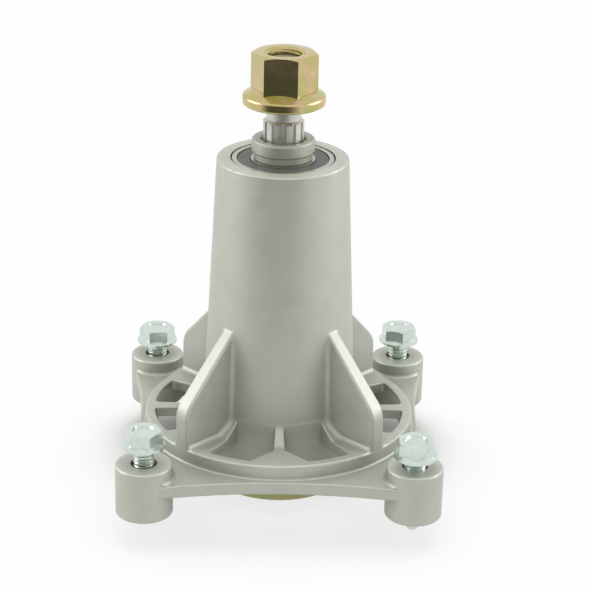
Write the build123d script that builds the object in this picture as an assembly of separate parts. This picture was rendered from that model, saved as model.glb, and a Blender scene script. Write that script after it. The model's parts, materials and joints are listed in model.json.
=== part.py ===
# Mower deck spindle: cast housing, splined shaft on two sealed ball bearings, nut and deck screws.
# Millimetres, +Z up along the spindle; the origin is on the axis, at the end face of the star drive.
from build123d import *
import math
import os

os.makedirs("parts", exist_ok=True)

# Deck flange of the casting
bolt_pitch = 101.6
boss_diameter = 21.7
boss_height = 20.4
boss_edge_round = 1.0
boss_foot_fillet = 1.5
deck_plane_above_plate = 5.8
plate_thickness = 4.9
plate_side_overhang = 4.4
plate_corner_overhang = 9.2
plate_corner_inset = 5.8
plate_edge_round = 0.7
hole_mouth_diameter = 10.0
hole_end_diameter = 7.5

# Vented drum of the casting
drum_radius = 53.0
drum_wall = 3.5
window_rim = 4.0
drum_edge_round = 1.0
drum_foot_fillet = 1.0
roof_thickness = 4.0
ramp_run = 7.2
ramp_rise = 4.2
ramp_round = 5.0
spoke_half_angle = 3.4
side_window_angle = 28.3
front_window_angle = 32.9
pad_angle = 12.8
pad_gap = 1.7
window_corner_round = 1.5
window_edge_round = 0.6
window_tube_step = 0.2

# Bearing tube of the casting
tube_length = 125.6
tube_top_radius = 25.15
tube_draft_angle = 2.7
tube_edge_round = 0.8
tube_end_below_boss = 1.0
bearing_shoulder = 2.0

# Gussets of the casting
gusset_rise = 40.8
gusset_slope_angle = 45.8
gusset_corner_radius = 10.0
gusset_edge_thickness = 4.6
gusset_foot_thickness = 7.0
gusset_edge_round = 1.1
gusset_foot_fillet = 2.0

# Ball bearings
bearing_bore = 17.0
bearing_diameter = 40.0
bearing_width = 12.0
ball_diameter = 6.747
ball_count = 8
inner_race_wall = 3.75
outer_race_wall = 3.55
seal_grip = 1.15
seal_thickness = 1.0
seal_inset = 0.3
race_chamfer = 0.6
cage_sheet = 0.6
cage_width = 3.0
upper_bearing_inset = 0.3
lower_bearing_inset = 1.0

# Shaft
star_tip_radius = 12.7
star_valley_radius = 9.4
star_points = 5
star_corner_round = 0.8
star_projection = 5.0
blade_bolt_bore = 8.5
blade_bolt_depth = 26.0
spline_diameter = 15.5
spline_length = 9.3
spline_groove_count = 12
spline_groove_radius = 0.8
spline_below_spacer_top = 1.5
spline_chamfer = 1.1
relief_diameter = 13.1
thread_diameter = 14.0
shaft_end_chamfer = 1.0
shaft_end_below_nut_top = 2.8

# Dust cup under the lower bearing
cup_radius = 29.0
cup_height = 7.5
cup_sheet = 2.0
cup_rim_gap = 1.2
cup_star_clearance = 0.6
cup_cone_run = 3.4
cup_bend_round = 1.2

# Sleeve and pulley spacer
sleeve_diameter = 22.0
spacer_diameter = 24.0
spacer_height = 8.0
spacer_neck_diameter = 22.4
spacer_neck_height = 3.4
spacer_edge_chamfer = 0.6

# Pulley nut
pulley_hub_room = 13.4
nut_across_flats = 22.0
nut_height = 19.9
nut_flange_diameter = 31.4
nut_flange_rim = 3.6
nut_flange_height = 6.0
nut_mouth_chamfer = 0.9
nut_corner_chamfer = 1.6
nut_turn = -7.7

# Deck screws
screw_length = 31.75
screw_core_diameter = 6.9
screw_tip_taper = 2.5
screw_across_flats = 12.7
screw_head_height = 6.3
screw_washer_diameter = 16.4
screw_washer_rim = 0.9
screw_washer_height = 1.9
screw_dish_radius = 4.2
screw_dish_depth = 0.5
screw_corner_chamfer = 0.9
screw_lean_pivot = 3.0

# Where each screw stands: side in X, side in Y, washer height above the boss, turn and lean in degrees
screw_places = [
    (-1, -1, 7.3, -9.0, 0.0),
    (1, -1, 5.4, 27.0, 4.5),
    (-1, 1, 5.5, 7.0, 0.0),
    (1, 1, 6.9, -20.0, 0.0),
]

# Clearances
seat_clearance = 0.02
ball_clearance = 0.05
cage_clearance = 0.08
lip_clearance = 0.10
thread_clearance = 0.05
touch_tolerance = 0.001

# Levels along the spindle
blade_seat_z = star_projection
lower_bearing_z = blade_seat_z + cup_height
tube_end_z = lower_bearing_z - lower_bearing_inset
tube_top_z = tube_end_z + tube_length
boss_base_z = tube_end_z + tube_end_below_boss
deck_plane_z = boss_base_z + boss_height
plate_top_z = deck_plane_z - deck_plane_above_plate
ramp_top_z = deck_plane_z + ramp_rise
plate_base_z = plate_top_z - plate_thickness
upper_bearing_top_z = tube_top_z - upper_bearing_inset
upper_bearing_z = upper_bearing_top_z - bearing_width
spacer_top_z = upper_bearing_top_z + spacer_height
nut_base_z = spacer_top_z + pulley_hub_room
nut_top_z = nut_base_z + nut_height
shaft_end_z = nut_top_z - shaft_end_below_nut_top
spline_start_z = spacer_top_z - spline_below_spacer_top
spline_end_z = spline_start_z + spline_length
cup_floor_z = blade_seat_z + cup_sheet
cup_hub_under_z = lower_bearing_z - cup_sheet

# Radii that several pieces share
boss_offset = bolt_pitch / 2
boss_radius = boss_diameter / 2
window_outer_radius = drum_radius - window_rim
cavity_radius = drum_radius - drum_wall
journal_radius = bearing_bore / 2
bearing_radius = bearing_diameter / 2
inner_land_radius = journal_radius + inner_race_wall
outer_land_radius = bearing_radius - outer_race_wall
seal_radius = outer_land_radius + seal_grip
ball_radius = ball_diameter / 2
pitch_radius = (bearing_bore + bearing_diameter) / 4
thread_radius = thread_diameter / 2
cup_hub_under_radius = star_tip_radius + cup_star_clearance
cup_hub_radius = cup_hub_under_radius + cup_sheet / 2


def tube_radius(z):
    """Outer radius of the drafted bearing tube at a height."""
    return tube_top_radius + (tube_top_z - z) * math.tan(math.radians(tube_draft_angle))


def ramp_foot_radius():
    """Radius at which the ramp leaves the roof of the drum."""
    return tube_radius(deck_plane_z) + ramp_run


def polar(radius, angle):
    """Point in the XY plane at a radius and an angle in degrees."""
    return (radius * math.cos(math.radians(angle)), radius * math.sin(math.radians(angle)))


def upright(radius, base_z, top_z):
    """Cylinder on the spindle axis between two heights."""
    return Pos(0, 0, base_z) * Cylinder(radius, top_z - base_z, align=(Align.CENTER, Align.CENTER, Align.MIN))


def turned(*points, rounds=None):
    """Solid of revolution about the spindle axis from (radius, z) corners, with a round at each if given."""
    outline = FilletPolyline(*points, close=True, radius=rounds or [0] * len(points))
    return revolve(Plane.XZ * make_face(outline), Axis.Z)


def around(piece, count):
    """Copies of a piece turned evenly about the spindle axis."""
    return [Rot(0, 0, 360 / count * step) * piece for step in range(count)]


def at_bosses(piece):
    """Copies of a piece, one at each boss centre."""
    return [Pos(x, y, 0) * piece for x in (-boss_offset, boss_offset) for y in (-boss_offset, boss_offset)]


def plate_outline():
    """Square outline with four concave sides that run into the bosses."""
    reach = boss_offset + plate_corner_overhang
    inset = boss_offset - plate_corner_inset
    middle = boss_offset + plate_side_overhang
    side = ThreePointArc((-inset, -reach), (0, -middle), (inset, -reach))
    corner = Line((inset, -reach), (reach, -inset))
    return make_face([Rot(0, 0, 90 * turn) * edge for turn in range(4) for edge in (side, corner)])


def flange_plate():
    """Deck flange, with rounded sides and room for the drum's cavity."""
    plate = extrude(Pos(0, 0, plate_base_z) * plate_outline(), plate_thickness)
    plate = fillet(plate.edges().filter_by(GeomType.CIRCLE), plate_edge_round)
    return plate - upright(cavity_radius, plate_base_z, plate_top_z)


def boss_feet():
    """Concave fillets where the bosses stand on the plate."""
    core_r = boss_radius / 2
    foot_r = boss_radius + 1.2 * boss_foot_fillet
    foot_top_z = plate_top_z + 1.2 * boss_foot_fillet
    middle_z = (plate_base_z + plate_top_z) / 2
    ring = turned(
        (core_r, middle_z),
        (foot_r, middle_z),
        (foot_r, plate_top_z),
        (boss_radius, plate_top_z),
        (boss_radius, foot_top_z),
        (core_r, foot_top_z),
        rounds=[0, 0, 0, boss_foot_fillet, 0, 0],
    )
    bounds = extrude(Pos(0, 0, middle_z) * offset(plate_outline(), -plate_edge_round), foot_top_z - middle_z)
    return [foot & bounds for foot in at_bosses(ring)]


def boss():
    """Round boss that carries one deck screw."""
    body = upright(boss_radius, boss_base_z, deck_plane_z)
    return fillet(body.edges().filter_by(GeomType.CIRCLE), boss_edge_round)


def screw_hole():
    """Drafted cored hole through a boss, widest at the deck face."""
    hole = Cone(
        hole_end_diameter / 2,
        hole_mouth_diameter / 2,
        boss_height,
        align=(Align.CENTER, Align.CENTER, Align.MIN),
    )
    return Pos(0, 0, boss_base_z) * hole


def drum_and_tube():
    """Drum, ramp and bearing tube turned in one piece, still solid inside."""
    cavity_z = deck_plane_z - roof_thickness
    foot_r = drum_radius + 1.5 * drum_foot_fillet
    corners = [
        ((0, tube_end_z), 0),
        ((tube_radius(tube_end_z), tube_end_z), tube_edge_round),
        ((tube_radius(cavity_z), cavity_z), 0),
        ((cavity_radius, cavity_z), 0),
        ((cavity_radius, plate_base_z), 0),
        ((drum_radius, plate_base_z), 0),
        ((foot_r, plate_base_z + plate_edge_round), 0),
        ((foot_r, plate_top_z), 0),
        ((drum_radius, plate_top_z), drum_foot_fillet),
        ((drum_radius, deck_plane_z), drum_edge_round),
        ((ramp_foot_radius(), deck_plane_z), ramp_round),
        ((tube_radius(ramp_top_z), ramp_top_z), ramp_round),
        ((tube_top_radius, tube_top_z), tube_edge_round),
        ((0, tube_top_z), 0),
    ]
    return turned(*[point for point, _ in corners], rounds=[radius for _, radius in corners])


def window(last_angle, corner_angle):
    """Vent window beside the +X spoke; corner_angle is where the pad beside the spoke reaches the ring."""
    inner = bearing_radius
    outer = window_outer_radius
    first = spoke_half_angle
    pad_start = ramp_foot_radius() + pad_gap
    pad_edge = [polar(outer, corner_angle)]
    if corner_angle > first:
        pad_edge.insert(0, polar(pad_start, first))
    middle = polar(outer, (corner_angle + last_angle) / 2)
    straight = Polyline(polar(outer, last_angle), polar(inner, last_angle), polar(inner, first), *pad_edge)
    face = make_face([straight, ThreePointArc(pad_edge[-1], middle, polar(outer, last_angle))])
    corners = [v for v in face.vertices() if math.hypot(v.X, v.Y) > outer - window_corner_round]
    face = fillet(corners, window_corner_round)
    base_z = deck_plane_z - 1.5 * roof_thickness
    top_z = ramp_top_z + ramp_round
    tube = turned(
        (0, base_z),
        (tube_radius(base_z) + window_tube_step, base_z),
        (tube_radius(top_z) + window_tube_step, top_z),
        (0, top_z),
    )
    return extrude(Pos(0, 0, base_z) * face, top_z - base_z) - Rot(0, 0, 180) * tube


def gusset():
    """Drafted gusset along +X, from the tube down to the rim of the drum."""
    base_z = deck_plane_z - 0.75 * roof_thickness
    top_z = deck_plane_z + gusset_rise
    slope = math.tan(math.radians(gusset_slope_angle))
    peak_z = top_z + tube_radius(top_z) * slope
    half_foot = gusset_foot_thickness / 2
    half_edge = gusset_edge_thickness / 2
    end_x = math.sqrt(drum_radius**2 - half_foot**2)
    side_view = FilletPolyline(
        (0, base_z),
        (end_x, base_z),
        (end_x, peak_z - end_x * slope),
        (0, peak_z),
        close=True,
        radius=[0, 0, gusset_corner_radius, 0],
    )
    end_view = Polyline(
        (-half_foot, base_z), (half_foot, base_z), (half_edge, peak_z), (-half_edge, peak_z), close=True
    )
    blade = extrude(Plane.XZ * make_face(side_view), half_foot, both=True)
    body = blade & extrude(Plane.YZ * make_face(end_view), end_x)
    middles = [(edge, edge.position_at(0.5)) for edge in body.edges()]
    ridge = [edge for edge, at in middles if at.X > 1 and at.Z > base_z + 1 and abs(at.Y) > half_edge / 2]
    return fillet(ridge, gusset_edge_round)


def on_gusset_foot(at):
    """Whether a point lies where a flank of the +X gusset meets the roof, the ramp or the tube."""
    half_foot = gusset_foot_thickness / 2
    on_flank = at.X > tube_top_radius / 2 and half_foot / 4 < abs(at.Y) < half_foot
    on_roof = abs(at.Z - deck_plane_z) < touch_tolerance and at.X < drum_radius - 2 * drum_edge_round
    on_ramp = at.X < ramp_foot_radius() + ramp_round and deck_plane_z < at.Z < ramp_top_z + ramp_round
    on_tube = at.Z > ramp_top_z and math.hypot(at.X, at.Y) < tube_radius(at.Z) + touch_tolerance
    return on_flank and (on_roof or on_ramp or on_tube)


def casting_quarter():
    """Quarter of the drum and tube between the +X and +Y spokes, with its gusset and two vent windows."""
    joined = Rot(0, 0, 180) * drum_and_tube() + gusset()
    foot = [edge for edge in joined.edges() if on_gusset_foot(edge.position_at(0.5))]
    side_window = window(side_window_angle, spoke_half_angle)
    front_window = Rot(0, 0, 90) * mirror(window(front_window_angle, pad_angle), Plane.XZ)
    vents = [side_window, front_window]
    body = Rot(0, 0, 45) * fillet(foot, gusset_foot_fillet) - vents
    outlines = []
    for edge in body.edges():
        at = edge.position_at(0.5)
        on_vent = min(vent.distance_to(Vertex(at)) for vent in vents) < touch_tolerance
        if on_vent and abs(at.Z - deck_plane_z) < touch_tolerance:
            outlines.append(edge)
    reach = drum_radius + gusset_corner_radius
    room = Pos(0, 0, tube_end_z) * Box(reach, reach, tube_length, align=(Align.MIN, Align.MIN, Align.MIN))
    return fillet(outlines, window_edge_round) & room


def vented_drum():
    """Drum, tube and gussets: four quarters that mirror each other, still solid inside the tube."""
    quarter = casting_quarter()
    half = quarter + mirror(quarter, Plane.YZ)
    return half + mirror(half, Plane.XZ)


def bearing_seats():
    """Two bearing pockets joined by the cored bore between them."""
    pocket_r = bearing_radius + seat_clearance
    lower_top_z = lower_bearing_z + bearing_width
    return [
        upright(pocket_r, tube_end_z, lower_top_z),
        upright(bearing_radius - bearing_shoulder, lower_top_z, upper_bearing_z),
        upright(pocket_r, upper_bearing_z, tube_top_z),
    ]


def housing():
    """Vented aluminium casting with its bearing seats and screw holes."""
    body = flange_plate() + at_bosses(boss()) + boss_feet() + vented_drum()
    return body - bearing_seats() - at_bosses(screw_hole())


def race_groove():
    """Ring that cuts the ball groove of a bearing lying on the XY plane."""
    return Pos(0, 0, bearing_width / 2) * Torus(pitch_radius, ball_radius + ball_clearance)


def outer_race():
    """Outer race, with a step at each face for a seal."""
    step = seal_thickness + seal_inset
    ring = turned(
        (outer_land_radius, step),
        (seal_radius + seat_clearance, step),
        (seal_radius + seat_clearance, 0),
        (bearing_radius - race_chamfer, 0),
        (bearing_radius, race_chamfer),
        (bearing_radius, bearing_width - race_chamfer),
        (bearing_radius - race_chamfer, bearing_width),
        (seal_radius + seat_clearance, bearing_width),
        (seal_radius + seat_clearance, bearing_width - step),
        (outer_land_radius, bearing_width - step),
    )
    return ring - race_groove()


def inner_race():
    """Inner race, chamfered where the shaft enters."""
    bore_r = journal_radius + seat_clearance
    ring = turned(
        (bore_r + race_chamfer, 0),
        (inner_land_radius, 0),
        (inner_land_radius, bearing_width),
        (bore_r + race_chamfer, bearing_width),
        (bore_r, bearing_width - race_chamfer),
        (bore_r, race_chamfer),
    )
    return ring - race_groove()


def ball_places(radius):
    """Spheres at the ball centres of a bearing lying on the XY plane."""
    return around(Pos(pitch_radius, 0, bearing_width / 2) * Sphere(radius), ball_count)


def cage_half(upper):
    """One pressed half of the riveted ribbon cage."""
    middle_z = bearing_width / 2
    pocket_r = ball_radius + cage_clearance
    shell_r = pocket_r + cage_sheet
    inside = pitch_radius - cage_width / 2
    outside = pitch_radius + cage_width / 2
    low_z = middle_z if upper else middle_z - shell_r
    high_z = middle_z + shell_r if upper else middle_z
    ribbon_low_z = middle_z if upper else middle_z - cage_sheet
    ribbon = upright(outside, ribbon_low_z, ribbon_low_z + cage_sheet)
    sleeve_shape = upright(outside, low_z, high_z) - upright(inside, low_z, high_z)
    pressed = (ribbon + ball_places(shell_r)) & sleeve_shape
    return pressed - ball_places(pocket_r)


def seal(upper):
    """Rubber seal held in the outer race, its lip just clear of the inner race."""
    lip_r = inner_land_radius + lip_clearance
    bevel = seal_inset
    ring = turned(
        (lip_r, 0),
        (seal_radius, 0),
        (seal_radius, seal_thickness - bevel),
        (seal_radius - bevel, seal_thickness),
        (lip_r + bevel, seal_thickness),
        (lip_r, seal_thickness - bevel),
    )
    if upper:
        return Pos(0, 0, bearing_width - seal_inset - seal_thickness) * ring
    return Pos(0, 0, seal_inset + seal_thickness) * (Rot(180, 0, 0) * ring)


def bearing(side, base_z):
    """All pieces of one sealed ball bearing, by node name."""
    pieces = {
        "outer_race": outer_race(),
        "inner_race": inner_race(),
        "balls": Compound(ball_places(ball_radius)),
        "cage_upper_half": cage_half(True),
        "cage_lower_half": cage_half(False),
        "upper_seal": seal(True),
        "lower_seal": seal(False),
    }
    return {f"{side}_bearing_{name}": Pos(0, 0, base_z) * piece for name, piece in pieces.items()}


def star_drive():
    """Star end of the shaft that turns the blade."""
    corners = []
    for step in range(2 * star_points):
        radius = star_valley_radius if step % 2 else star_tip_radius
        corners.append(polar(radius, 90 + 180 / star_points * step))
    face = make_face(FilletPolyline(*corners, close=True, radius=star_corner_round))
    return extrude(face, cup_hub_under_z)


def shaft():
    """Shaft with star drive, bearing journal, spline and pulley thread."""
    spline_r = spline_diameter / 2
    relief_r = relief_diameter / 2
    stem = turned(
        (0, cup_hub_under_z),
        (journal_radius, cup_hub_under_z),
        (journal_radius, spline_start_z),
        (spline_r, spline_start_z),
        (spline_r, spline_end_z - spline_chamfer),
        (relief_r, spline_end_z),
        (relief_r, nut_base_z),
        (thread_radius, nut_base_z + thread_radius - relief_r),
        (thread_radius, shaft_end_z - shaft_end_chamfer),
        (thread_radius - shaft_end_chamfer, shaft_end_z),
        (0, shaft_end_z),
    )
    groove = Pos(spline_r, 0, spline_start_z) * Cylinder(
        spline_groove_radius, spline_length, align=(Align.CENTER, Align.CENTER, Align.MIN)
    )
    bolt_hole = upright(blade_bolt_bore / 2, 0, blade_bolt_depth)
    return star_drive() + stem - around(groove, spline_groove_count) - bolt_hole


def dust_cup():
    """Pressed cup: a hub on the lower inner race, a flat for the blade and an upturned rim."""
    rim_z = tube_end_z - cup_rim_gap
    cone_r = cup_hub_radius + cup_cone_run
    inside = cup_radius - cup_sheet
    bore_r = journal_radius + seat_clearance
    flat_under_r = cone_r - cup_sheet / 2
    inner_bend = cup_bend_round
    outer_bend = cup_bend_round + cup_sheet / 2
    corners = [
        ((bore_r, cup_hub_under_z), 0),
        ((cup_hub_under_radius, cup_hub_under_z), inner_bend / 2),
        ((flat_under_r, blade_seat_z), inner_bend / 2),
        ((cup_radius, blade_seat_z), outer_bend),
        ((cup_radius, rim_z), 0),
        ((inside, rim_z), 0),
        ((inside, cup_floor_z), inner_bend),
        ((cone_r, cup_floor_z), inner_bend / 2),
        ((cup_hub_radius, lower_bearing_z), inner_bend / 2),
        ((bore_r, lower_bearing_z), 0),
    ]
    return turned(*[point for point, _ in corners], rounds=[radius for _, radius in corners])


def bearing_sleeve():
    """Tube that keeps the two inner races apart."""
    base_z = lower_bearing_z + bearing_width
    bore = upright(journal_radius + seat_clearance, base_z, upper_bearing_z)
    return upright(sleeve_diameter / 2, base_z, upper_bearing_z) - bore


def pulley_spacer():
    """Ring on the upper inner race that the pulley hub rests on."""
    bore_r = journal_radius + seat_clearance
    rim_r = spacer_diameter / 2
    neck_r = spacer_neck_diameter / 2
    neck_top_z = upper_bearing_top_z + spacer_neck_height
    return turned(
        (bore_r, upper_bearing_top_z),
        (neck_r - spacer_edge_chamfer, upper_bearing_top_z),
        (neck_r, upper_bearing_top_z + spacer_edge_chamfer),
        (neck_r, neck_top_z - (rim_r - neck_r)),
        (rim_r, neck_top_z),
        (rim_r, spacer_top_z - spacer_edge_chamfer),
        (rim_r - spacer_edge_chamfer, spacer_top_z),
        (bore_r + spacer_edge_chamfer, spacer_top_z),
        (bore_r, spacer_top_z - spacer_edge_chamfer),
    )


def hexagon_bar(across_flats, base_z, top_z, corner_chamfer):
    """Hexagon bar with a flat towards -Y, its top corners chamfered by turning."""
    corner_r = across_flats / math.sqrt(3)
    bar = extrude(Pos(0, 0, base_z) * RegularPolygon(corner_r, 6), top_z - base_z)
    turned_limit = turned(
        (0, base_z),
        (corner_r, base_z),
        (corner_r, top_z - corner_chamfer / 2),
        (corner_r - corner_chamfer, top_z),
        (0, top_z),
    )
    return bar & turned_limit


def pulley_nut():
    """Flange nut at the top of the shaft."""
    flange_r = nut_flange_diameter / 2
    neck_r = nut_across_flats / 2
    bore_r = thread_radius + thread_clearance
    mouth_r = bore_r + nut_mouth_chamfer
    flange_top_z = nut_base_z + nut_flange_height
    flange = turned(
        (0, nut_base_z),
        (flange_r, nut_base_z),
        (flange_r, nut_base_z + nut_flange_rim),
        (neck_r, flange_top_z),
        (0, flange_top_z),
        rounds=[0, nut_flange_rim / 4, nut_flange_rim / 3, 0, 0],
    )
    bar = hexagon_bar(nut_across_flats, nut_base_z, nut_top_z, nut_corner_chamfer)
    hole = turned(
        (0, nut_base_z),
        (mouth_r, nut_base_z),
        (bore_r, nut_base_z + nut_mouth_chamfer),
        (bore_r, nut_top_z - nut_mouth_chamfer),
        (mouth_r, nut_top_z),
        (0, nut_top_z),
    )
    return Rot(0, 0, nut_turn) * (flange + bar - hole)


def deck_screw():
    """Hex washer-head screw on the Z axis, the underside of its washer at z = 0."""
    washer_r = screw_washer_diameter / 2
    core_r = screw_core_diameter / 2
    neck_r = screw_across_flats / 2
    body = turned(
        (0, -screw_length),
        (core_r - screw_tip_taper / 2, -screw_length),
        (core_r, screw_tip_taper - screw_length),
        (core_r, 0),
        (washer_r, 0),
        (washer_r, screw_washer_rim),
        (neck_r, screw_washer_height),
        (0, screw_washer_height),
    )
    head = hexagon_bar(screw_across_flats, 0, screw_head_height, screw_corner_chamfer)
    dish = turned(
        (0, screw_head_height - screw_dish_depth),
        (screw_dish_radius - screw_dish_depth, screw_head_height - screw_dish_depth),
        (screw_dish_radius, screw_head_height),
        (0, screw_head_height),
    )
    return body + head - dish


def deck_screws():
    """Four screws started in their bosses, each at its own height, turn and lean."""
    pieces = []
    for side_x, side_y, standing, turn, lean in screw_places:
        pivot = Pos(side_x * boss_offset, side_y * boss_offset, boss_base_z + screw_lean_pivot)
        rise = boss_height - screw_lean_pivot + standing
        pieces.append(pivot * Rot(lean, 0, 0) * Pos(0, 0, rise) * Rot(0, 0, turn) * deck_screw())
    return Compound(pieces)


nodes = {
    "housing": housing(),
    "shaft": shaft(),
    "dust_cup": dust_cup(),
    "bearing_sleeve": bearing_sleeve(),
    "pulley_spacer": pulley_spacer(),
    "pulley_nut": pulley_nut(),
    "deck_screws": deck_screws(),
}
nodes.update(bearing("upper", upper_bearing_z))
nodes.update(bearing("lower", lower_bearing_z))
for name, shape in nodes.items():
    export_step(shape, f"parts/{name}.step")
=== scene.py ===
"""Dresses the mower deck spindle: finishes, cut threads, studio light and camera."""
import json
import logging
import math
from dataclasses import dataclass
from enum import Enum

import bmesh
import bpy
from mathutils import Matrix, Vector


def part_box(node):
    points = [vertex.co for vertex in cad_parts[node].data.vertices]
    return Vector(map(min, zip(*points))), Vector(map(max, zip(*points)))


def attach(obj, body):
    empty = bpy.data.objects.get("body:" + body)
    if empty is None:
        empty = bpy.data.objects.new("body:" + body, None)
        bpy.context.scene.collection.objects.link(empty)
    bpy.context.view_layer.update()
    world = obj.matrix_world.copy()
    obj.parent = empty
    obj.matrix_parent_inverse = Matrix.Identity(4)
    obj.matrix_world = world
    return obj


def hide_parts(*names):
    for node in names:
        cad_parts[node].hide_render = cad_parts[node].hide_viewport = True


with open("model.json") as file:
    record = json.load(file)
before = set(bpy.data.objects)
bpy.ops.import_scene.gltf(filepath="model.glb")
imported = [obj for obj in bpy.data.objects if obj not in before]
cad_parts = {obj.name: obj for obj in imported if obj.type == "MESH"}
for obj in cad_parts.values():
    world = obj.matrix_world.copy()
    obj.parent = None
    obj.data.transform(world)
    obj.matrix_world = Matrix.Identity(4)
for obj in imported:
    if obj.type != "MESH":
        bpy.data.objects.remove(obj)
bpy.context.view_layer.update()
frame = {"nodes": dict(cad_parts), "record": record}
log = logging.getLogger("spindle")

Colour = tuple[float, float, float, float]
Point = tuple[float, float, float]
Span = tuple[float, float]
Feed = bpy.types.NodeSocket | float | Colour
WHITE: Colour = (1, 1, 1, 1)
# Painted shade for the round gaps at the bearing: its colour and its share.
GAP_SHADE_COLOUR: Colour = (0.012, 0.012, 0.010, 1)
GAP_SHADE_DEPTH = 0.85
RECESS_SAMPLES = 8
MERGE_DISTANCE = 1e-6
TRIM_TOLERANCE = 1e-8
FLAT_NORMAL = 0.999
PHOTO_PIXELS = 590
SENSOR_MM = 36.0
CLIP_START = 0.01
DIRECT_RAYS = ("Is Camera Ray", "Is Transmission Ray")
WHITE_RAYS = ("Is Camera Ray", "Is Glossy Ray", "Is Transmission Ray")


class Socket(Enum):
    """Kinds of socket on a node group."""

    VALUE = "NodeSocketFloat"
    COLOUR = "NodeSocketColor"


class Blend(Enum):
    """What a mix node mixes: its data type, its two inputs and its output."""

    VALUES = ("FLOAT", 2, 3, 0)
    COLOURS = ("RGBA", 6, 7, 2)


class Lay(Enum):
    """Which way the fine tool marks of a turned piece run."""

    AROUND_STEM = "around_stem"
    ACROSS_FACE = "across_face"


def feed(tree: bpy.types.NodeTree, value: Feed, socket: bpy.types.NodeSocket) -> None:
    """Link a socket to an input, or set the input to a constant.

    Args:
        tree: The node tree.
        value: A socket of another node, a number or a colour.
        socket: The input that gets it.
    """
    if isinstance(value, bpy.types.NodeSocket):
        tree.links.new(value, socket)
    else:
        socket.default_value = value


def calculate(
    tree: bpy.types.NodeTree, operation: str, *values: Feed, clamp: bool = False
) -> bpy.types.NodeSocket:
    """Add one math node.

    Args:
        tree: The node tree.
        operation: What the node does.
        values: Its inputs, in order.
        clamp: Whether the result stays between 0 and 1.

    Returns:
        The node's result.
    """
    node = tree.nodes.new("ShaderNodeMath")
    node.operation = operation
    node.use_clamp = clamp
    for value, socket in zip(values, node.inputs):
        feed(tree, value, socket)
    return node.outputs[0]


def blend(
    tree: bpy.types.NodeTree, kind: Blend, factor: Feed, first: Feed, second: Feed
) -> bpy.types.NodeSocket:
    """Mix two values or two colours.

    Args:
        tree: The node tree.
        kind: Whether values or colours are mixed.
        factor: The share of the second.
        first: What is seen at a factor of 0.
        second: What is seen at a factor of 1.

    Returns:
        The mixture.
    """
    data_type, first_input, second_input, output = kind.value
    node = tree.nodes.new("ShaderNodeMix")
    node.data_type = data_type
    feed(tree, factor, node.inputs["Factor"])
    feed(tree, first, node.inputs[first_input])
    feed(tree, second, node.inputs[second_input])
    return node.outputs[output]


def level_map(tree: bpy.types.NodeTree, value: bpy.types.NodeSocket, levels: Span) -> bpy.types.NodeSocket:
    """Stretch a mask from 0 to 1 over two levels.

    Args:
        tree: The node tree.
        value: The mask.
        levels: The level at 0 and at 1.

    Returns:
        The stretched value.
    """
    node = tree.nodes.new("ShaderNodeMapRange")
    node.inputs["To Min"].default_value = levels[0]
    node.inputs["To Max"].default_value = levels[1]
    tree.links.new(value, node.inputs["Value"])
    return node.outputs["Result"]


def smooth_step(
    tree: bpy.types.NodeTree, value: bpy.types.NodeSocket, span: Span, levels: tuple[Feed, Feed]
) -> bpy.types.NodeSocket:
    """Turn a value into a smooth step between two levels.

    Args:
        tree: The node tree.
        value: The value that is read.
        span: Where the step starts and ends.
        levels: The level before and after it.

    Returns:
        The stepped value.
    """
    node = tree.nodes.new("ShaderNodeMapRange")
    node.interpolation_type = "SMOOTHSTEP"
    node.inputs["From Min"].default_value = span[0]
    node.inputs["From Max"].default_value = span[1]
    feed(tree, levels[0], node.inputs["To Min"])
    feed(tree, levels[1], node.inputs["To Max"])
    tree.links.new(value, node.inputs["Value"])
    return node.outputs["Result"]


def coordinate(tree: bpy.types.NodeTree, axis: str, coordinates: str = "Object") -> bpy.types.NodeSocket:
    """Read one coordinate of the shaded point.

    Args:
        tree: The node tree.
        axis: X, Y or Z.
        coordinates: Which coordinates are read.

    Returns:
        The coordinate.
    """
    place = tree.nodes.new("ShaderNodeTexCoord")
    split = tree.nodes.new("ShaderNodeSeparateXYZ")
    tree.links.new(place.outputs[coordinates], split.inputs[0])
    return split.outputs[axis]


def axis_distance(tree: bpy.types.NodeTree) -> bpy.types.NodeSocket:
    """Read how far the shaded point lies from the spindle axis.

    Args:
        tree: The node tree.

    Returns:
        The distance in metres.
    """
    place = tree.nodes.new("ShaderNodeTexCoord")
    flat = tree.nodes.new("ShaderNodeVectorMath")
    flat.operation = "MULTIPLY"
    flat.inputs[1].default_value = (1, 1, 0)
    tree.links.new(place.outputs["Object"], flat.inputs[0])
    length = tree.nodes.new("ShaderNodeVectorMath")
    length.operation = "LENGTH"
    tree.links.new(flat.outputs[0], length.inputs[0])
    return length.outputs["Value"]


def layered_noise(
    tree: bpy.types.NodeTree, scale: Feed, detail: float, roughness: float = 0.5
) -> bpy.types.NodeSocket:
    """Add layered noise on Object coordinates.

    Args:
        tree: The node tree.
        scale: Features per metre.
        detail: How many finer layers are added.
        roughness: How strong each finer layer is.

    Returns:
        The noise, around 0.5.
    """
    place = tree.nodes.new("ShaderNodeTexCoord")
    noise = tree.nodes.new("ShaderNodeTexNoise")
    noise.inputs["Detail"].default_value = detail
    noise.inputs["Roughness"].default_value = roughness
    tree.links.new(place.outputs["Object"], noise.inputs["Vector"])
    feed(tree, scale, noise.inputs["Scale"])
    return noise.outputs["Fac"]


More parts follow.
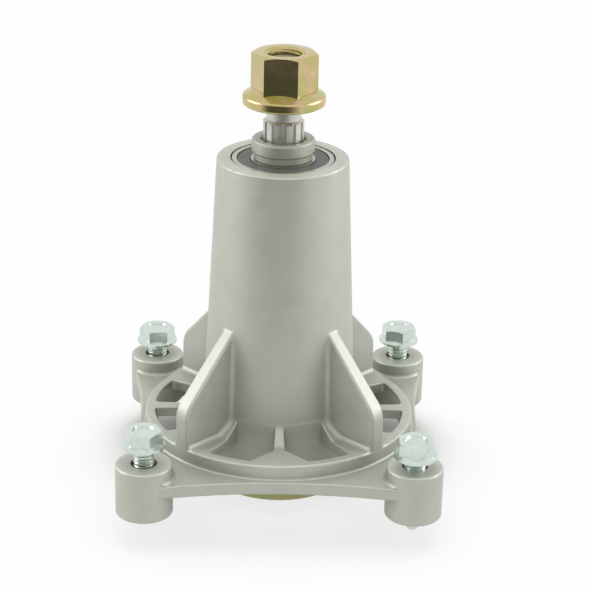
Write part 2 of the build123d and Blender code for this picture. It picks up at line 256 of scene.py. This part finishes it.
def new_group(name: str, inputs: dict[str, Socket], outputs: dict[str, Socket]) -> bpy.types.NodeTree:
    """Start a shader node group with named sockets.

    Args:
        name: The group's name.
        inputs: Socket kind for each input name.
        outputs: Socket kind for each output name.

    Returns:
        The group, with only its input and output nodes.
    """
    group = bpy.data.node_groups.new(name, "ShaderNodeTree")
    for label, kind in inputs.items():
        group.interface.new_socket(name=label, in_out="INPUT", socket_type=kind.value)
    for label, kind in outputs.items():
        group.interface.new_socket(name=label, in_out="OUTPUT", socket_type=kind.value)
    group.nodes.new("NodeGroupInput")
    group.nodes.new("NodeGroupOutput")
    return group


def use_group(tree: bpy.types.NodeTree, group: bpy.types.NodeTree, **values: Feed) -> bpy.types.Node:
    """Place a shared group in a material.

    Args:
        tree: The material's node tree.
        group: The shared group.
        values: What each input gets, by its name.

    Returns:
        The group's node.
    """
    node = tree.nodes.new("ShaderNodeGroup")
    node.node_tree = group
    for label, value in values.items():
        feed(tree, value, node.inputs[label])
    return node


def cloudy_tone_group() -> bpy.types.NodeTree:
    """Build the cloudy tone that cast and plated metal shows.

    Returns:
        A group that mixes two colours by layered noise and also gives the mask.
    """
    group = new_group(
        "cloudy_tone",
        {"scale": Socket.VALUE, "low": Socket.COLOUR, "high": Socket.COLOUR, "contrast": Socket.VALUE},
        {"colour": Socket.COLOUR, "mask": Socket.VALUE},
    )
    start, end = group.nodes["Group Input"].outputs, group.nodes["Group Output"].inputs
    middle = 0.5
    noise = layered_noise(group, start["scale"], detail=5.0, roughness=0.6)
    swing = calculate(group, "SUBTRACT", noise, middle)
    mask = calculate(group, "MULTIPLY_ADD", swing, start["contrast"], middle, clamp=True)
    colour = blend(group, Blend.COLOURS, mask, start["low"], start["high"])
    group.links.new(colour, end["colour"])
    group.links.new(mask, end["mask"])
    return group


def blasted_grain_group() -> bpy.types.NodeTree:
    """Build the fine granular skin of a casting or a blasted face.

    Returns:
        A group that gives a height from two sizes of grain.
    """
    group = new_group(
        "blasted_grain",
        {"fine_scale": Socket.VALUE, "coarse_scale": Socket.VALUE, "coarse_share": Socket.VALUE},
        {"height": Socket.VALUE},
    )
    start, end = group.nodes["Group Input"].outputs, group.nodes["Group Output"].inputs
    fine = layered_noise(group, start["fine_scale"], detail=2.0)
    coarse = layered_noise(group, start["coarse_scale"], detail=3.0)
    height = blend(group, Blend.VALUES, start["coarse_share"], fine, coarse)
    group.links.new(height, end["height"])
    return group


def tool_mark_group(lay: Lay) -> bpy.types.NodeTree:
    """Build the fine rings that a lathe tool leaves.

    Args:
        lay: Whether the rings follow one another along the axis or across a face.

    Returns:
        A group that gives the rings' height.
    """
    group = new_group(f"tool_marks_{lay.value}", {"rings_per_metre": Socket.VALUE}, {"height": Socket.VALUE})
    start, end = group.nodes["Group Input"].outputs, group.nodes["Group Output"].inputs
    distance = coordinate(group, "Z") if lay is Lay.AROUND_STEM else axis_distance(group)
    rings = group.nodes.new("ShaderNodeTexNoise")
    rings.noise_dimensions = "1D"
    rings.inputs["Detail"].default_value = 3.0
    group.links.new(distance, rings.inputs["W"])
    group.links.new(start["rings_per_metre"], rings.inputs["Scale"])
    group.links.new(rings.outputs["Fac"], end["height"])
    return group


def gap_shade_ring_group() -> bpy.types.NodeTree:
    """Build a dark ring of painted shade, standing in for the shade in a round gap between parts.

    Returns:
        A group that darkens a colour between two distances from the spindle axis.
    """
    group = new_group(
        "gap_shade_ring",
        {"colour": Socket.COLOUR, "inner": Socket.VALUE, "outer": Socket.VALUE, "depth": Socket.VALUE},
        {"colour": Socket.COLOUR},
    )
    start, end = group.nodes["Group Input"].outputs, group.nodes["Group Output"].inputs
    distance = axis_distance(group)
    past_inner = calculate(group, "GREATER_THAN", distance, start["inner"])
    within_outer = calculate(group, "LESS_THAN", distance, start["outer"])
    ring = calculate(group, "MULTIPLY", past_inner, within_outer)
    share = calculate(group, "MULTIPLY", ring, start["depth"])
    group.links.new(blend(group, Blend.COLOURS, share, start["colour"], GAP_SHADE_COLOUR), end["colour"])
    return group


class Workshop:
    """Node groups that the finishes share, each built once."""

    def __init__(self) -> None:
        """Build every shared group."""
        self.cloudy_tone = cloudy_tone_group()
        self.blasted_grain = blasted_grain_group()
        self.gap_shade_ring = gap_shade_ring_group()
        self.tool_marks = {lay: tool_mark_group(lay) for lay in Lay}


@dataclass(frozen=True)
class Relief:
    """The fine relief of a surface: grain and, where turned, tool marks."""

    fine_scale: float
    coarse_scale: float
    coarse_share: float
    strength: float
    depth: float = 0.0002
    lay: Lay | None = None
    rings_per_metre: float = 0.0

    def build(self, tree: bpy.types.NodeTree, shop: Workshop) -> bpy.types.NodeSocket:
        """Add the relief to a material.

        Args:
            tree: The material's node tree.
            shop: The shared node groups.

        Returns:
            The bumped normal.
        """
        grain = use_group(
            tree, shop.blasted_grain,
            fine_scale=self.fine_scale, coarse_scale=self.coarse_scale, coarse_share=self.coarse_share,
        )
        height = grain.outputs["height"]
        if self.lay is not None:
            marks = use_group(tree, shop.tool_marks[self.lay], rings_per_metre=self.rings_per_metre)
            height = calculate(tree, "ADD", height, marks.outputs["height"])
        bump = tree.nodes.new("ShaderNodeBump")
        bump.inputs["Strength"].default_value = self.strength
        bump.inputs["Distance"].default_value = self.depth
        tree.links.new(height, bump.inputs["Height"])
        return bump.outputs["Normal"]


@dataclass(frozen=True)
class MetalFinish:
    """A skin with cloudy tone, fine relief and, where set, painted shade in gaps and recesses."""

    name: str
    low: Colour
    high: Colour
    metallic: float
    roughness: float
    roughness_swing: float
    tone_scale: float
    tone_contrast: float
    relief: Relief
    gap_shade_span: Span | None = None
    recess_shade: float = 0.0
    recess_reach: float = 0.03

    def paint_shade(
        self, tree: bpy.types.NodeTree, shop: Workshop, colour: bpy.types.NodeSocket
    ) -> bpy.types.NodeSocket:
        """Paint shade into a colour: a dark ring in a round gap between parts, and darkening in the casting's
        recesses.

        Args:
            tree: The material's node tree.
            shop: The shared node groups.
            colour: The colour before shade is painted in.

        Returns:
            The colour with painted shade, or the plain one if this finish paints none.
        """
        # Painted shade: a dark ring where a round gap between parts lies in shade.
        if self.gap_shade_span is not None:
            inner, outer = self.gap_shade_span
            gap_shade = use_group(
                tree, shop.gap_shade_ring, colour=colour, inner=inner, outer=outer, depth=GAP_SHADE_DEPTH
            )
            colour = gap_shade.outputs["colour"]
        # Painted shade: ambient occlusion within the object darkens its colour in its recesses.
        if self.recess_shade > 0:
            cover = tree.nodes.new("ShaderNodeAmbientOcclusion")
            cover.samples = RECESS_SAMPLES
            cover.only_local = True
            cover.inputs["Distance"].default_value = self.recess_reach
            painted_recess_shade = level_map(tree, cover.outputs["AO"], (1.0 - self.recess_shade, 1.0))
            deep = tree.nodes.new("ShaderNodeVectorMath")
            deep.operation = "SCALE"
            tree.links.new(colour, deep.inputs[0])
            tree.links.new(painted_recess_shade, deep.inputs["Scale"])
            colour = deep.outputs["Vector"]
        return colour

    def build(self, shop: Workshop) -> bpy.types.Material:
        """Make the material.

        Args:
            shop: The shared node groups.

        Returns:
            A procedural material on Object coordinates.
        """
        material = bpy.data.materials.new(self.name)
        material.use_nodes = True
        tree = material.node_tree
        shader = tree.nodes["Principled BSDF"].inputs
        shader["Metallic"].default_value = self.metallic
        tone = use_group(
            tree, shop.cloudy_tone,
            scale=self.tone_scale, low=self.low, high=self.high, contrast=self.tone_contrast,
        )
        gloss = (self.roughness - self.roughness_swing, self.roughness + self.roughness_swing)
        tree.links.new(self.paint_shade(tree, shop, tone.outputs["colour"]), shader["Base Color"])
        tree.links.new(level_map(tree, tone.outputs["mask"], gloss), shader["Roughness"])
        tree.links.new(self.relief.build(tree, shop), shader["Normal"])
        return material


@dataclass(frozen=True)
class ZincFinish:
    """Yellow-passivated zinc, gold with drifting pink and green films."""

    name: str
    gold: Colour
    pink: Colour
    green: Colour
    roughness: float
    film_scale: float
    relief: Relief
    film_contrast: float = 3.6
    patch_scale_share: float = 0.6
    patch_contrast: float = 2.4
    smoother: float = 0.06
    rougher: float = 0.10

    def build(self, shop: Workshop) -> bpy.types.Material:
        """Make the material.

        Args:
            shop: The shared node groups.

        Returns:
            A procedural material whose hue drifts over the surface.
        """
        material = bpy.data.materials.new(self.name)
        material.use_nodes = True
        tree = material.node_tree
        shader = tree.nodes["Principled BSDF"].inputs
        shader["Metallic"].default_value = 1.0
        film = use_group(
            tree, shop.cloudy_tone,
            scale=self.film_scale, low=self.green, high=self.pink, contrast=self.film_contrast,
        )
        patch = use_group(
            tree, shop.cloudy_tone,
            scale=self.film_scale * self.patch_scale_share, contrast=self.patch_contrast,
        )
        colour = blend(tree, Blend.COLOURS, patch.outputs["mask"], self.gold, film.outputs["colour"])
        gloss = (self.roughness - self.smoother, self.roughness + self.rougher)
        tree.links.new(colour, shader["Base Color"])
        tree.links.new(level_map(tree, film.outputs["mask"], gloss), shader["Roughness"])
        tree.links.new(self.relief.build(tree, shop), shader["Normal"])
        return material


CAST_ALUMINIUM = MetalFinish(
    "cast_aluminium", low=(0.42, 0.435, 0.375, 1), high=(0.48, 0.495, 0.435, 1),
    metallic=0.50, roughness=0.45, roughness_swing=0.04, tone_scale=120.0, tone_contrast=1.6,
    relief=Relief(fine_scale=1500.0, coarse_scale=300.0, coarse_share=0.45, strength=0.30, depth=0.0003),
    # Painted shade: the casting's colour is darkened in its recesses by ambient occlusion.
    recess_shade=0.5,
)
SHAFT_STEEL = MetalFinish(
    "shaft_steel", low=(0.50, 0.50, 0.46, 1), high=(0.62, 0.62, 0.57, 1),
    metallic=0.85, roughness=0.40, roughness_swing=0.07, tone_scale=260.0, tone_contrast=2.0,
    relief=Relief(
        fine_scale=2400.0, coarse_scale=700.0, coarse_share=0.3, strength=0.15,
        lay=Lay.AROUND_STEM, rings_per_metre=2600.0,
    ),
)
SPACER_STEEL = MetalFinish(
    "spacer_steel", low=(0.36, 0.38, 0.32, 1), high=(0.45, 0.47, 0.40, 1),
    metallic=0.7, roughness=0.44, roughness_swing=0.06, tone_scale=240.0, tone_contrast=2.0,
    relief=Relief(
        fine_scale=2200.0, coarse_scale=600.0, coarse_share=0.3, strength=0.14,
        lay=Lay.AROUND_STEM, rings_per_metre=1600.0,
    ),
)
BRIGHT_ZINC = MetalFinish(
    "bright_zinc", low=(0.52, 0.60, 0.55, 1), high=(0.70, 0.78, 0.73, 1),
    metallic=0.95, roughness=0.18, roughness_swing=0.05, tone_scale=300.0, tone_contrast=1.4,
    relief=Relief(fine_scale=2600.0, coarse_scale=700.0, coarse_share=0.4, strength=0.12),
)
BEARING_STEEL = MetalFinish(
    "bearing_steel", low=(0.40, 0.41, 0.36, 1), high=(0.48, 0.49, 0.43, 1),
    metallic=0.9, roughness=0.30, roughness_swing=0.05, tone_scale=300.0, tone_contrast=1.8,
    relief=Relief(
        fine_scale=2600.0, coarse_scale=700.0, coarse_share=0.3, strength=0.08,
        lay=Lay.ACROSS_FACE, rings_per_metre=3000.0,
    ),
    # Painted shade: a dark ring in the chamfer gap between the outer race and the housing bore.
    gap_shade_span=(0.0194, 0.0202),
)
CAGE_STEEL = MetalFinish(
    "cage_steel", low=(0.40, 0.39, 0.36, 1), high=(0.50, 0.48, 0.44, 1),
    metallic=1.0, roughness=0.36, roughness_swing=0.07, tone_scale=350.0, tone_contrast=2.0,
    relief=Relief(fine_scale=2400.0, coarse_scale=700.0, coarse_share=0.4, strength=0.12),
)
SEAL_RUBBER = MetalFinish(
    "seal_rubber", low=(0.060, 0.062, 0.056, 1), high=(0.085, 0.087, 0.079, 1),
    metallic=0.0, roughness=0.46, roughness_swing=0.08, tone_scale=300.0, tone_contrast=1.8,
    relief=Relief(
        fine_scale=2200.0, coarse_scale=500.0, coarse_share=0.4, strength=0.20,
        lay=Lay.ACROSS_FACE, rings_per_metre=1500.0,
    ),
    # Painted shade: a dark ring in the gap at the seal's edge.
    gap_shade_span=(0.0172, 0.0178),
)
YELLOW_ZINC = ZincFinish(
    "yellow_zinc", gold=(0.54, 0.46, 0.19, 1), pink=(0.72, 0.47, 0.34, 1), green=(0.40, 0.44, 0.14, 1),
    roughness=0.17, film_scale=125.0,
    relief=Relief(fine_scale=2600.0, coarse_scale=500.0, coarse_share=0.6, strength=0.06),
)
# The dust cup's zinc: a darker, more olive copy of the yellow zinc; its darkness is painted shade for the cup
# under the plate.
SHADED_OLIVE_ZINC = ZincFinish(
    "shaded_olive_zinc", gold=(0.30, 0.31, 0.13, 1), pink=(0.36, 0.30, 0.15, 1), green=(0.24, 0.28, 0.11, 1),
    roughness=0.26, film_scale=120.0,
    relief=Relief(fine_scale=2600.0, coarse_scale=500.0, coarse_share=0.6, strength=0.10),
)
FINISHES = (
    CAST_ALUMINIUM, SHAFT_STEEL, SPACER_STEEL, BRIGHT_ZINC,
    BEARING_STEEL, CAGE_STEEL, SEAL_RUBBER, YELLOW_ZINC, SHADED_OLIVE_ZINC,
)


class Bench:
    """Keeps the finished materials and turns CAD nodes into dressed pieces."""

    def __init__(self) -> None:
        """Build the shared groups and every finish."""
        shop = Workshop()
        self.materials = {finish.name: finish.build(shop) for finish in FINISHES}
        record = frame["record"]
        self.slot_of = {row["node"]: row["material_slot"] for row in record["subparts"]}
        self.body_of = {node: body for body, nodes in record["behaviour"]["bodies"].items() for node in nodes}

    def add(
        self, name: str, bm: bmesh.types.BMesh, body: str, slot: str, finish: str | None = None
    ) -> bpy.types.Object:
        """Make an object of a finished bmesh and let it ride on a body.

        Args:
            name: The piece's name.
            bm: Its mesh, in the row frame; it is freed here.
            body: The CAD body that carries it.
            slot: The material slot whose finish it gets, unless another finish is named.
            finish: The finish that it gets, if not the one named like its slot.

        Returns:
            The new object.
        """
        mesh = bpy.data.meshes.new(name)
        bm.to_mesh(mesh)
        bm.free()
        mesh.materials.append(self.materials[finish or slot])
        piece = bpy.data.objects.new(name, mesh)
        bpy.context.scene.collection.objects.link(piece)
        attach(piece, body)
        log.info("piece %s on %s: %d faces", name, body, len(mesh.polygons))
        return piece

    def skin(self, node: str, sharp_degrees: float = 32.0, finish: str | None = None) -> None:
        """Replace a CAD node by a merged copy with smooth curves and crisp edges.

        Args:
            node: The CAD node.
            sharp_degrees: Edges that turn more than this stay sharp.
            finish: The finish that it gets, if not the one named like its slot.
        """
        bm = bmesh.new()
        bm.from_mesh(frame["nodes"][node].data)
        bmesh.ops.remove_doubles(bm, verts=bm.verts, dist=MERGE_DISTANCE)
        limit = math.radians(sharp_degrees)
        for face in bm.faces:
            face.smooth = True
            face.material_index = 0
        for edge in bm.edges:
            edge.smooth = edge.calc_face_angle(math.pi) < limit
        piece = self.add(f"{node}_skin", bm, self.body_of[node], self.slot_of[node], finish)
        weigh = piece.modifiers.new("even_shading", "WEIGHTED_NORMAL")
        weigh.keep_sharp = True
        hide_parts(node)


@dataclass
class Thread:
    """A cut thread as one helical ridge, outside a stem or inside a bore."""

    root_radius: float
    crest_radius: float
    pitch: float
    length: float
    foot_share: float = 0.46
    crest_share: float = 0.15
    sink: float = 0.0001
    steps_per_turn: int = 40
    sharp_degrees: float = 25.0

    def build(self, place: Matrix) -> bmesh.types.BMesh:
        """Spin the ridge's section up the Z axis, trim both ends flat and put it in place.

        Args:
            place: Where the thread's axis and start lie in the row frame.

        Returns:
            The closed ridge, from z = 0 to the thread's length before it is placed.
        """
        bm = bmesh.new()
        foot = self.foot_share * self.pitch
        crest = self.crest_share * self.pitch
        sunk = self.root_radius + math.copysign(self.sink, self.root_radius - self.crest_radius)
        corners = [(sunk, -foot), (self.crest_radius, -crest), (self.crest_radius, crest), (sunk, foot)]
        ring = [bm.verts.new((radius, 0, z - self.pitch / 2)) for radius, z in corners]
        edges = [bm.edges.new((ring[i], ring[(i + 1) % len(ring)])) for i in range(len(ring))]
        run = self.length + self.pitch
        turns = run / self.pitch
        steps = round(turns * self.steps_per_turn)
        bmesh.ops.spin(
            bm, geom=ring + edges, cent=(0, 0, 0), axis=(0, 0, 1), dvec=(0, 0, run / steps),
            angle=2 * math.pi * turns, steps=steps, use_merge=False, use_duplicate=False,
        )
        self.trim(bm, 0.0, -1.0)
        self.trim(bm, self.length, 1.0)
        bmesh.ops.recalc_face_normals(bm, faces=bm.faces)
        for face in bm.faces:
            face.smooth = abs(face.normal.z) < FLAT_NORMAL
        for edge in bm.edges:
            edge.smooth = edge.calc_face_angle(math.pi) < math.radians(self.sharp_degrees)
        bmesh.ops.transform(bm, matrix=place, verts=bm.verts)
        return bm

    def trim(self, bm: bmesh.types.BMesh, height: float, side: float) -> None:
        """Cut the ridge off flat and close the cut.

        Args:
            bm: The ridge's mesh.
            height: Where it is cut.
            side: 1 to take away what lies above, -1 for what lies below.
        """
        cut = bmesh.ops.bisect_plane(
            bm, geom=bm.verts[:] + bm.edges[:] + bm.faces[:], dist=TRIM_TOLERANCE,
            plane_co=(0, 0, height), plane_no=(0, 0, side), clear_outer=True,
        )
        rim = [item for item in cut["geom_cut"] if isinstance(item, bmesh.types.BMEdge)]
        bmesh.ops.edgeloop_fill(bm, edges=rim)


@dataclass
class Casting:
    """The vented aluminium housing."""

    node: str = "housing"
    sharp_degrees: float = 30.0

    def dress(self, bench: Bench) -> None:
        """Give the casting its blasted skin."""
        bench.skin(self.node, self.sharp_degrees)


@dataclass
class Bearing:
    """One sealed ball bearing."""

    side: str
    parts: tuple[str, ...] = (
        "outer_race", "inner_race", "balls", "cage_upper_half", "cage_lower_half", "upper_seal", "lower_seal",
    )

    def dress(self, bench: Bench) -> None:
        """Dress every piece of the bearing."""
        for part in self.parts:
            bench.skin(f"{self.side}_bearing_{part}")


@dataclass
class Rotor:
    """Shaft, spacer, sleeve, cup and nut, which turn together."""

    pulley_thread_pitch: float = 0.00141
    pulley_thread_root: float = 0.00705
    pulley_thread_crest: float = 0.0064
    mouth_chamfer: float = 0.0009
    bolt_thread_pitch: float = 0.0016
    bolt_thread_root: float = 0.00425
    bolt_thread_crest: float = 0.0037
    bolt_hole_depth: float = 0.026

    def nut_thread(self, bench: Bench) -> None:
        """Cut the thread that shows in the nut's mouth, above the shaft's end.

        Args:
            bench: Where the piece is finished.
        """
        shaft_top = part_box("shaft")[1].z
        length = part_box("pulley_nut")[1].z - self.mouth_chamfer - shaft_top
        thread = Thread(self.pulley_thread_root, self.pulley_thread_crest, self.pulley_thread_pitch, length)
        start = Matrix.Translation((0, 0, shaft_top))
        bench.add("pulley_nut_thread", thread.build(start), "rotor", "yellow_zinc")

    def bolt_thread(self, bench: Bench) -> None:
        """Cut the thread of the blade bolt's hole in the shaft's lower end.

        Args:
            bench: Where the piece is finished.
        """
        length = self.bolt_hole_depth - 2 * self.bolt_thread_pitch
        thread = Thread(self.bolt_thread_root, self.bolt_thread_crest, self.bolt_thread_pitch, length)
        start = Matrix.Translation((0, 0, self.bolt_thread_pitch))
        bench.add("blade_bolt_thread", thread.build(start), "rotor", "shaft_steel")

    def dress(self, bench: Bench) -> None:
        """Dress the turned pieces and cut the two threads that can be looked into.

        Args:
            bench: Where the pieces are finished.
        """
        for node in ("shaft", "bearing_sleeve", "pulley_spacer", "pulley_nut"):
            bench.skin(node)
        # The cup gets the darker olive zinc: painted shade for its place under the plate.
        bench.skin("dust_cup", finish=SHADED_OLIVE_ZINC.name)
        self.nut_thread(bench)
        self.bolt_thread(bench)


@dataclass(frozen=True)
class ScrewPlace:
    """Where one screw stands: its corner, its washer's height above the boss and its lean."""

    name: str
    side_x: int
    side_y: int
    standing: float
    lean_degrees: float = 0.0


@dataclass
class DeckScrews:
    """Four hex washer-head screws that stand in the bosses."""

    boss_offset: float = 0.0508
    boss_base: float = 0.0125
    boss_height: float = 0.0204
    lean_pivot: float = 0.003
    length: float = 0.03175
    tip_taper: float = 0.0025
    core_radius: float = 0.00345
    crest_radius: float = 0.0039
    pitch: float = 0.00141
    places: tuple[ScrewPlace, ...] = (
        ScrewPlace("front_left", -1, -1, 0.0073),
        ScrewPlace("front_right", 1, -1, 0.0054, 4.5),
        ScrewPlace("back_left", -1, 1, 0.0055),
        ScrewPlace("back_right", 1, 1, 0.0069),
    )

    def thread_start(self, screw: ScrewPlace) -> Matrix:
        """Find where a screw's thread starts, just above its tip.

        Args:
            screw: Where the screw stands.

        Returns:
            The place and lean of the thread's axis.
        """
        pivot_height = self.boss_base + self.lean_pivot
        pivot = Matrix.Translation(
            (screw.side_x * self.boss_offset, screw.side_y * self.boss_offset, pivot_height)
        )
        lean = Matrix.Rotation(math.radians(screw.lean_degrees), 4, "X")
        rise = self.boss_height - self.lean_pivot + screw.standing - self.length + self.tip_taper
        return pivot @ lean @ Matrix.Translation((0, 0, rise))

    def dress(self, bench: Bench) -> None:
        """Dress the screws and cut their threads.

        Args:
            bench: Where the pieces are finished.
        """
        bench.skin("deck_screws")
        thread = Thread(
            self.core_radius, self.crest_radius, self.pitch, self.length - self.tip_taper - self.pitch
        )
        for screw in self.places:
            ridge = thread.build(self.thread_start(screw))
            bench.add(f"deck_screw_thread_{screw.name}", ridge, "housing", "bright_zinc")


@dataclass(frozen=True)
class Lamp:
    """One square soft lamp."""

    name: str
    place: Point
    size: float
    watts: float
    mirrored: bool = True

    def hang(self, aim: Point) -> None:
        """Add the lamp, facing a point.

        Args:
            aim: The point that it faces.
        """
        data = bpy.data.lights.new(self.name, "AREA")
        data.energy = self.watts
        data.size = self.size
        lamp = bpy.data.objects.new(self.name, data)
        lamp.location = self.place
        lamp.rotation_euler = (Vector(aim) - Vector(self.place)).to_track_quat("-Z", "Y").to_euler()
        lamp.visible_glossy = self.mirrored
        bpy.context.scene.collection.objects.link(lamp)


@dataclass
class Studio:
    """White floor, soft lamps, a room to reflect and the camera of the photograph."""

    azimuth: float = -1.311
    elevation: float = 22.352
    roll: float = 1.209
    distance: float = 0.760104
    focal_pixels: float = 1951.727
    side_shift: float = 0.0056
    target_height: float = 0.08071
    floor_size: float = 6.0
    floor_front: float = 0.25
    floor_drop: float = 0.0002
    floor_paint: Colour = (0.40, 0.40, 0.38, 1)
    floor_roughness: float = 0.9
    floor_shadow_share: float = 0.03
    shadow_reach: float = 0.08
    shadow_span: Span = (0.45, 0.92)
    fill_span: Span = (-0.02, 0.04)
    fill_share: float = 0.80
    room_strength: float = 0.36
    side_strength: float = 0.85
    side_span: Span = (0.45, 0.85)
    dark_wall: Point = (-0.25, -0.94, -0.23)
    dark_span: Span = (0.45, 0.92)
    dark_share: float = 0.12
    lamp_aim: Point = (0, 0, 0.08)
    lamps: tuple[Lamp, ...] = (
        Lamp("left_box", (-0.95, 0.10, 0.45), size=0.7, watts=5.0),
        Lamp("right_box", (0.95, 0.10, 0.45), size=0.7, watts=5.0),
        Lamp("top_box", (0, -0.10, 1.1), size=0.7, watts=8.0, mirrored=False),
        Lamp("front_fill", (-0.10, -1.0, 0.40), size=0.5, watts=5.0, mirrored=False),
    )

    def camera(self) -> None:
        """Place the camera at the photograph's viewpoint."""
        turn, lift = math.radians(self.azimuth), math.radians(self.elevation)
        back = Vector((math.sin(turn) * math.cos(lift), -math.cos(turn) * math.cos(lift), math.sin(lift)))
        right = (-back).cross(Vector((0, 0, 1))).normalized()
        up = right.cross(-back)
        tilt = math.radians(self.roll)
        side = right * math.cos(tilt) + up * math.sin(tilt)
        top = up * math.cos(tilt) - right * math.sin(tilt)
        place = Vector((0, 0, self.target_height)) + right * self.side_shift + back * self.distance
        data = bpy.data.cameras.new("photo_camera")
        data.sensor_width = SENSOR_MM
        data.lens = self.focal_pixels / PHOTO_PIXELS * SENSOR_MM
        data.clip_start = CLIP_START
        camera = bpy.data.objects.new("photo_camera", data)
        axes = Matrix((side, top, back)).transposed().to_4x4()
        camera.matrix_world = Matrix.Translation(place) @ axes
        bpy.context.scene.collection.objects.link(camera)
        bpy.context.scene.camera = camera

    def any_ray(self, tree: bpy.types.NodeTree, labels: tuple[str, ...]) -> bpy.types.NodeSocket:
        """Join several kinds of ray in one mask.

        Args:
            tree: The node tree that needs the mask.
            labels: The outputs of the light path that count.

        Returns:
            A socket that is 1 for those rays.
        """
        path = tree.nodes.new("ShaderNodeLightPath")
        total = path.outputs[labels[0]]
        for label in labels[1:]:
            total = calculate(tree, "MAXIMUM", total, path.outputs[label])
        return total

    def room_levels(self, tree: bpy.types.NodeTree) -> tuple[bpy.types.NodeSocket, bpy.types.NodeSocket]:
        """Give the room bright side walls and a dark wall in front of the object.

        Args:
            tree: The world's node tree.

        Returns:
            The room's brightness in each direction, and the share that the dark wall leaves.
        """
        across = calculate(tree, "ABSOLUTE", coordinate(tree, "X", "Generated"))
        sides = smooth_step(tree, across, self.side_span, (self.room_strength, self.side_strength))
        place = tree.nodes.new("ShaderNodeTexCoord")
        ahead = tree.nodes.new("ShaderNodeVectorMath")
        ahead.operation = "DOT_PRODUCT"
        ahead.inputs[1].default_value = self.dark_wall
        tree.links.new(place.outputs["Generated"], ahead.inputs[0])
        front = smooth_step(tree, ahead.outputs["Value"], self.dark_span, (1.0, self.dark_share))
        return calculate(tree, "MULTIPLY", sides, front), front

    def world(self) -> None:
        """Light the room softly, and show white where it is seen or mirrored."""
        world = bpy.data.worlds.new("white_room")
        bpy.context.scene.world = world
        world.use_nodes = True
        tree = world.node_tree
        level, front = self.room_levels(tree)
        soft = tree.nodes["Background"]
        soft.inputs["Color"].default_value = WHITE
        tree.links.new(level, soft.inputs["Strength"])
        white = tree.nodes.new("ShaderNodeBackground")
        white.inputs["Color"].default_value = WHITE
        seen = calculate(tree, "MAXIMUM", self.any_ray(tree, DIRECT_RAYS), front)
        tree.links.new(seen, white.inputs["Strength"])
        mix = tree.nodes.new("ShaderNodeMixShader")
        tree.links.new(self.any_ray(tree, WHITE_RAYS), mix.inputs["Fac"])
        tree.links.new(soft.outputs[0], mix.inputs[1])
        tree.links.new(white.outputs[0], mix.inputs[2])
        tree.links.new(mix.outputs[0], tree.nodes["World Output"].inputs["Surface"])

    def floor_material(self) -> bpy.types.Material:
        """Make the floor white, with a shadow that is deep behind the object and filled in front.

        Returns:
            The floor's material.
        """
        material = bpy.data.materials.new("floor_white")
        material.use_nodes = True
        tree = material.node_tree
        paint = tree.nodes["Principled BSDF"]
        paint.inputs["Base Color"].default_value = self.floor_paint
        paint.inputs["Roughness"].default_value = self.floor_roughness
        glow = tree.nodes.new("ShaderNodeEmission")
        glow.inputs["Strength"].default_value = 1.0
        cover = tree.nodes.new("ShaderNodeAmbientOcclusion")
        cover.inputs["Distance"].default_value = self.shadow_reach
        filled = smooth_step(tree, coordinate(tree, "Y"), self.fill_span, (self.fill_share, 0.0))
        lit = smooth_step(tree, cover.outputs["AO"], self.shadow_span, (filled, 1.0))
        share = calculate(tree, "MULTIPLY", self.any_ray(tree, WHITE_RAYS), lit)
        faint = calculate(tree, "MULTIPLY", share, 1.0 - self.floor_shadow_share)
        mix = tree.nodes.new("ShaderNodeMixShader")
        tree.links.new(faint, mix.inputs["Fac"])
        tree.links.new(paint.outputs[0], mix.inputs[1])
        tree.links.new(glow.outputs[0], mix.inputs[2])
        tree.links.new(mix.outputs[0], tree.nodes["Material Output"].inputs["Surface"])
        return material

    def floor(self) -> None:
        """Lay the floor just under the object."""
        bm = bmesh.new()
        half = self.floor_size / 2
        bmesh.ops.create_grid(bm, x_segments=1, y_segments=1, size=half)
        bmesh.ops.translate(bm, vec=(0, half - self.floor_front, -self.floor_drop), verts=bm.verts)
        mesh = bpy.data.meshes.new("floor")
        bm.to_mesh(mesh)
        bm.free()
        mesh.materials.append(self.floor_material())
        floor = bpy.data.objects.new("floor", mesh)
        bpy.context.scene.collection.objects.link(floor)

    def build(self) -> None:
        """Set up the whole studio."""
        bpy.context.scene.view_settings.view_transform = "Standard"
        self.camera()
        self.world()
        self.floor()
        for lamp in self.lamps:
            lamp.hang(self.lamp_aim)
        log.info("studio ready with %d lamps", len(self.lamps))


def main() -> None:
    """Build and dress every sub-assembly in order."""
    logging.basicConfig(level=logging.INFO, format="%(name)s: %(message)s")
    bench = Bench()
    Casting().dress(bench)
    Rotor().dress(bench)
    for side in ("upper", "lower"):
        Bearing(side).dress(bench)
    DeckScrews().dress(bench)
    Studio().build()


if __name__ == "__main__":
    main()
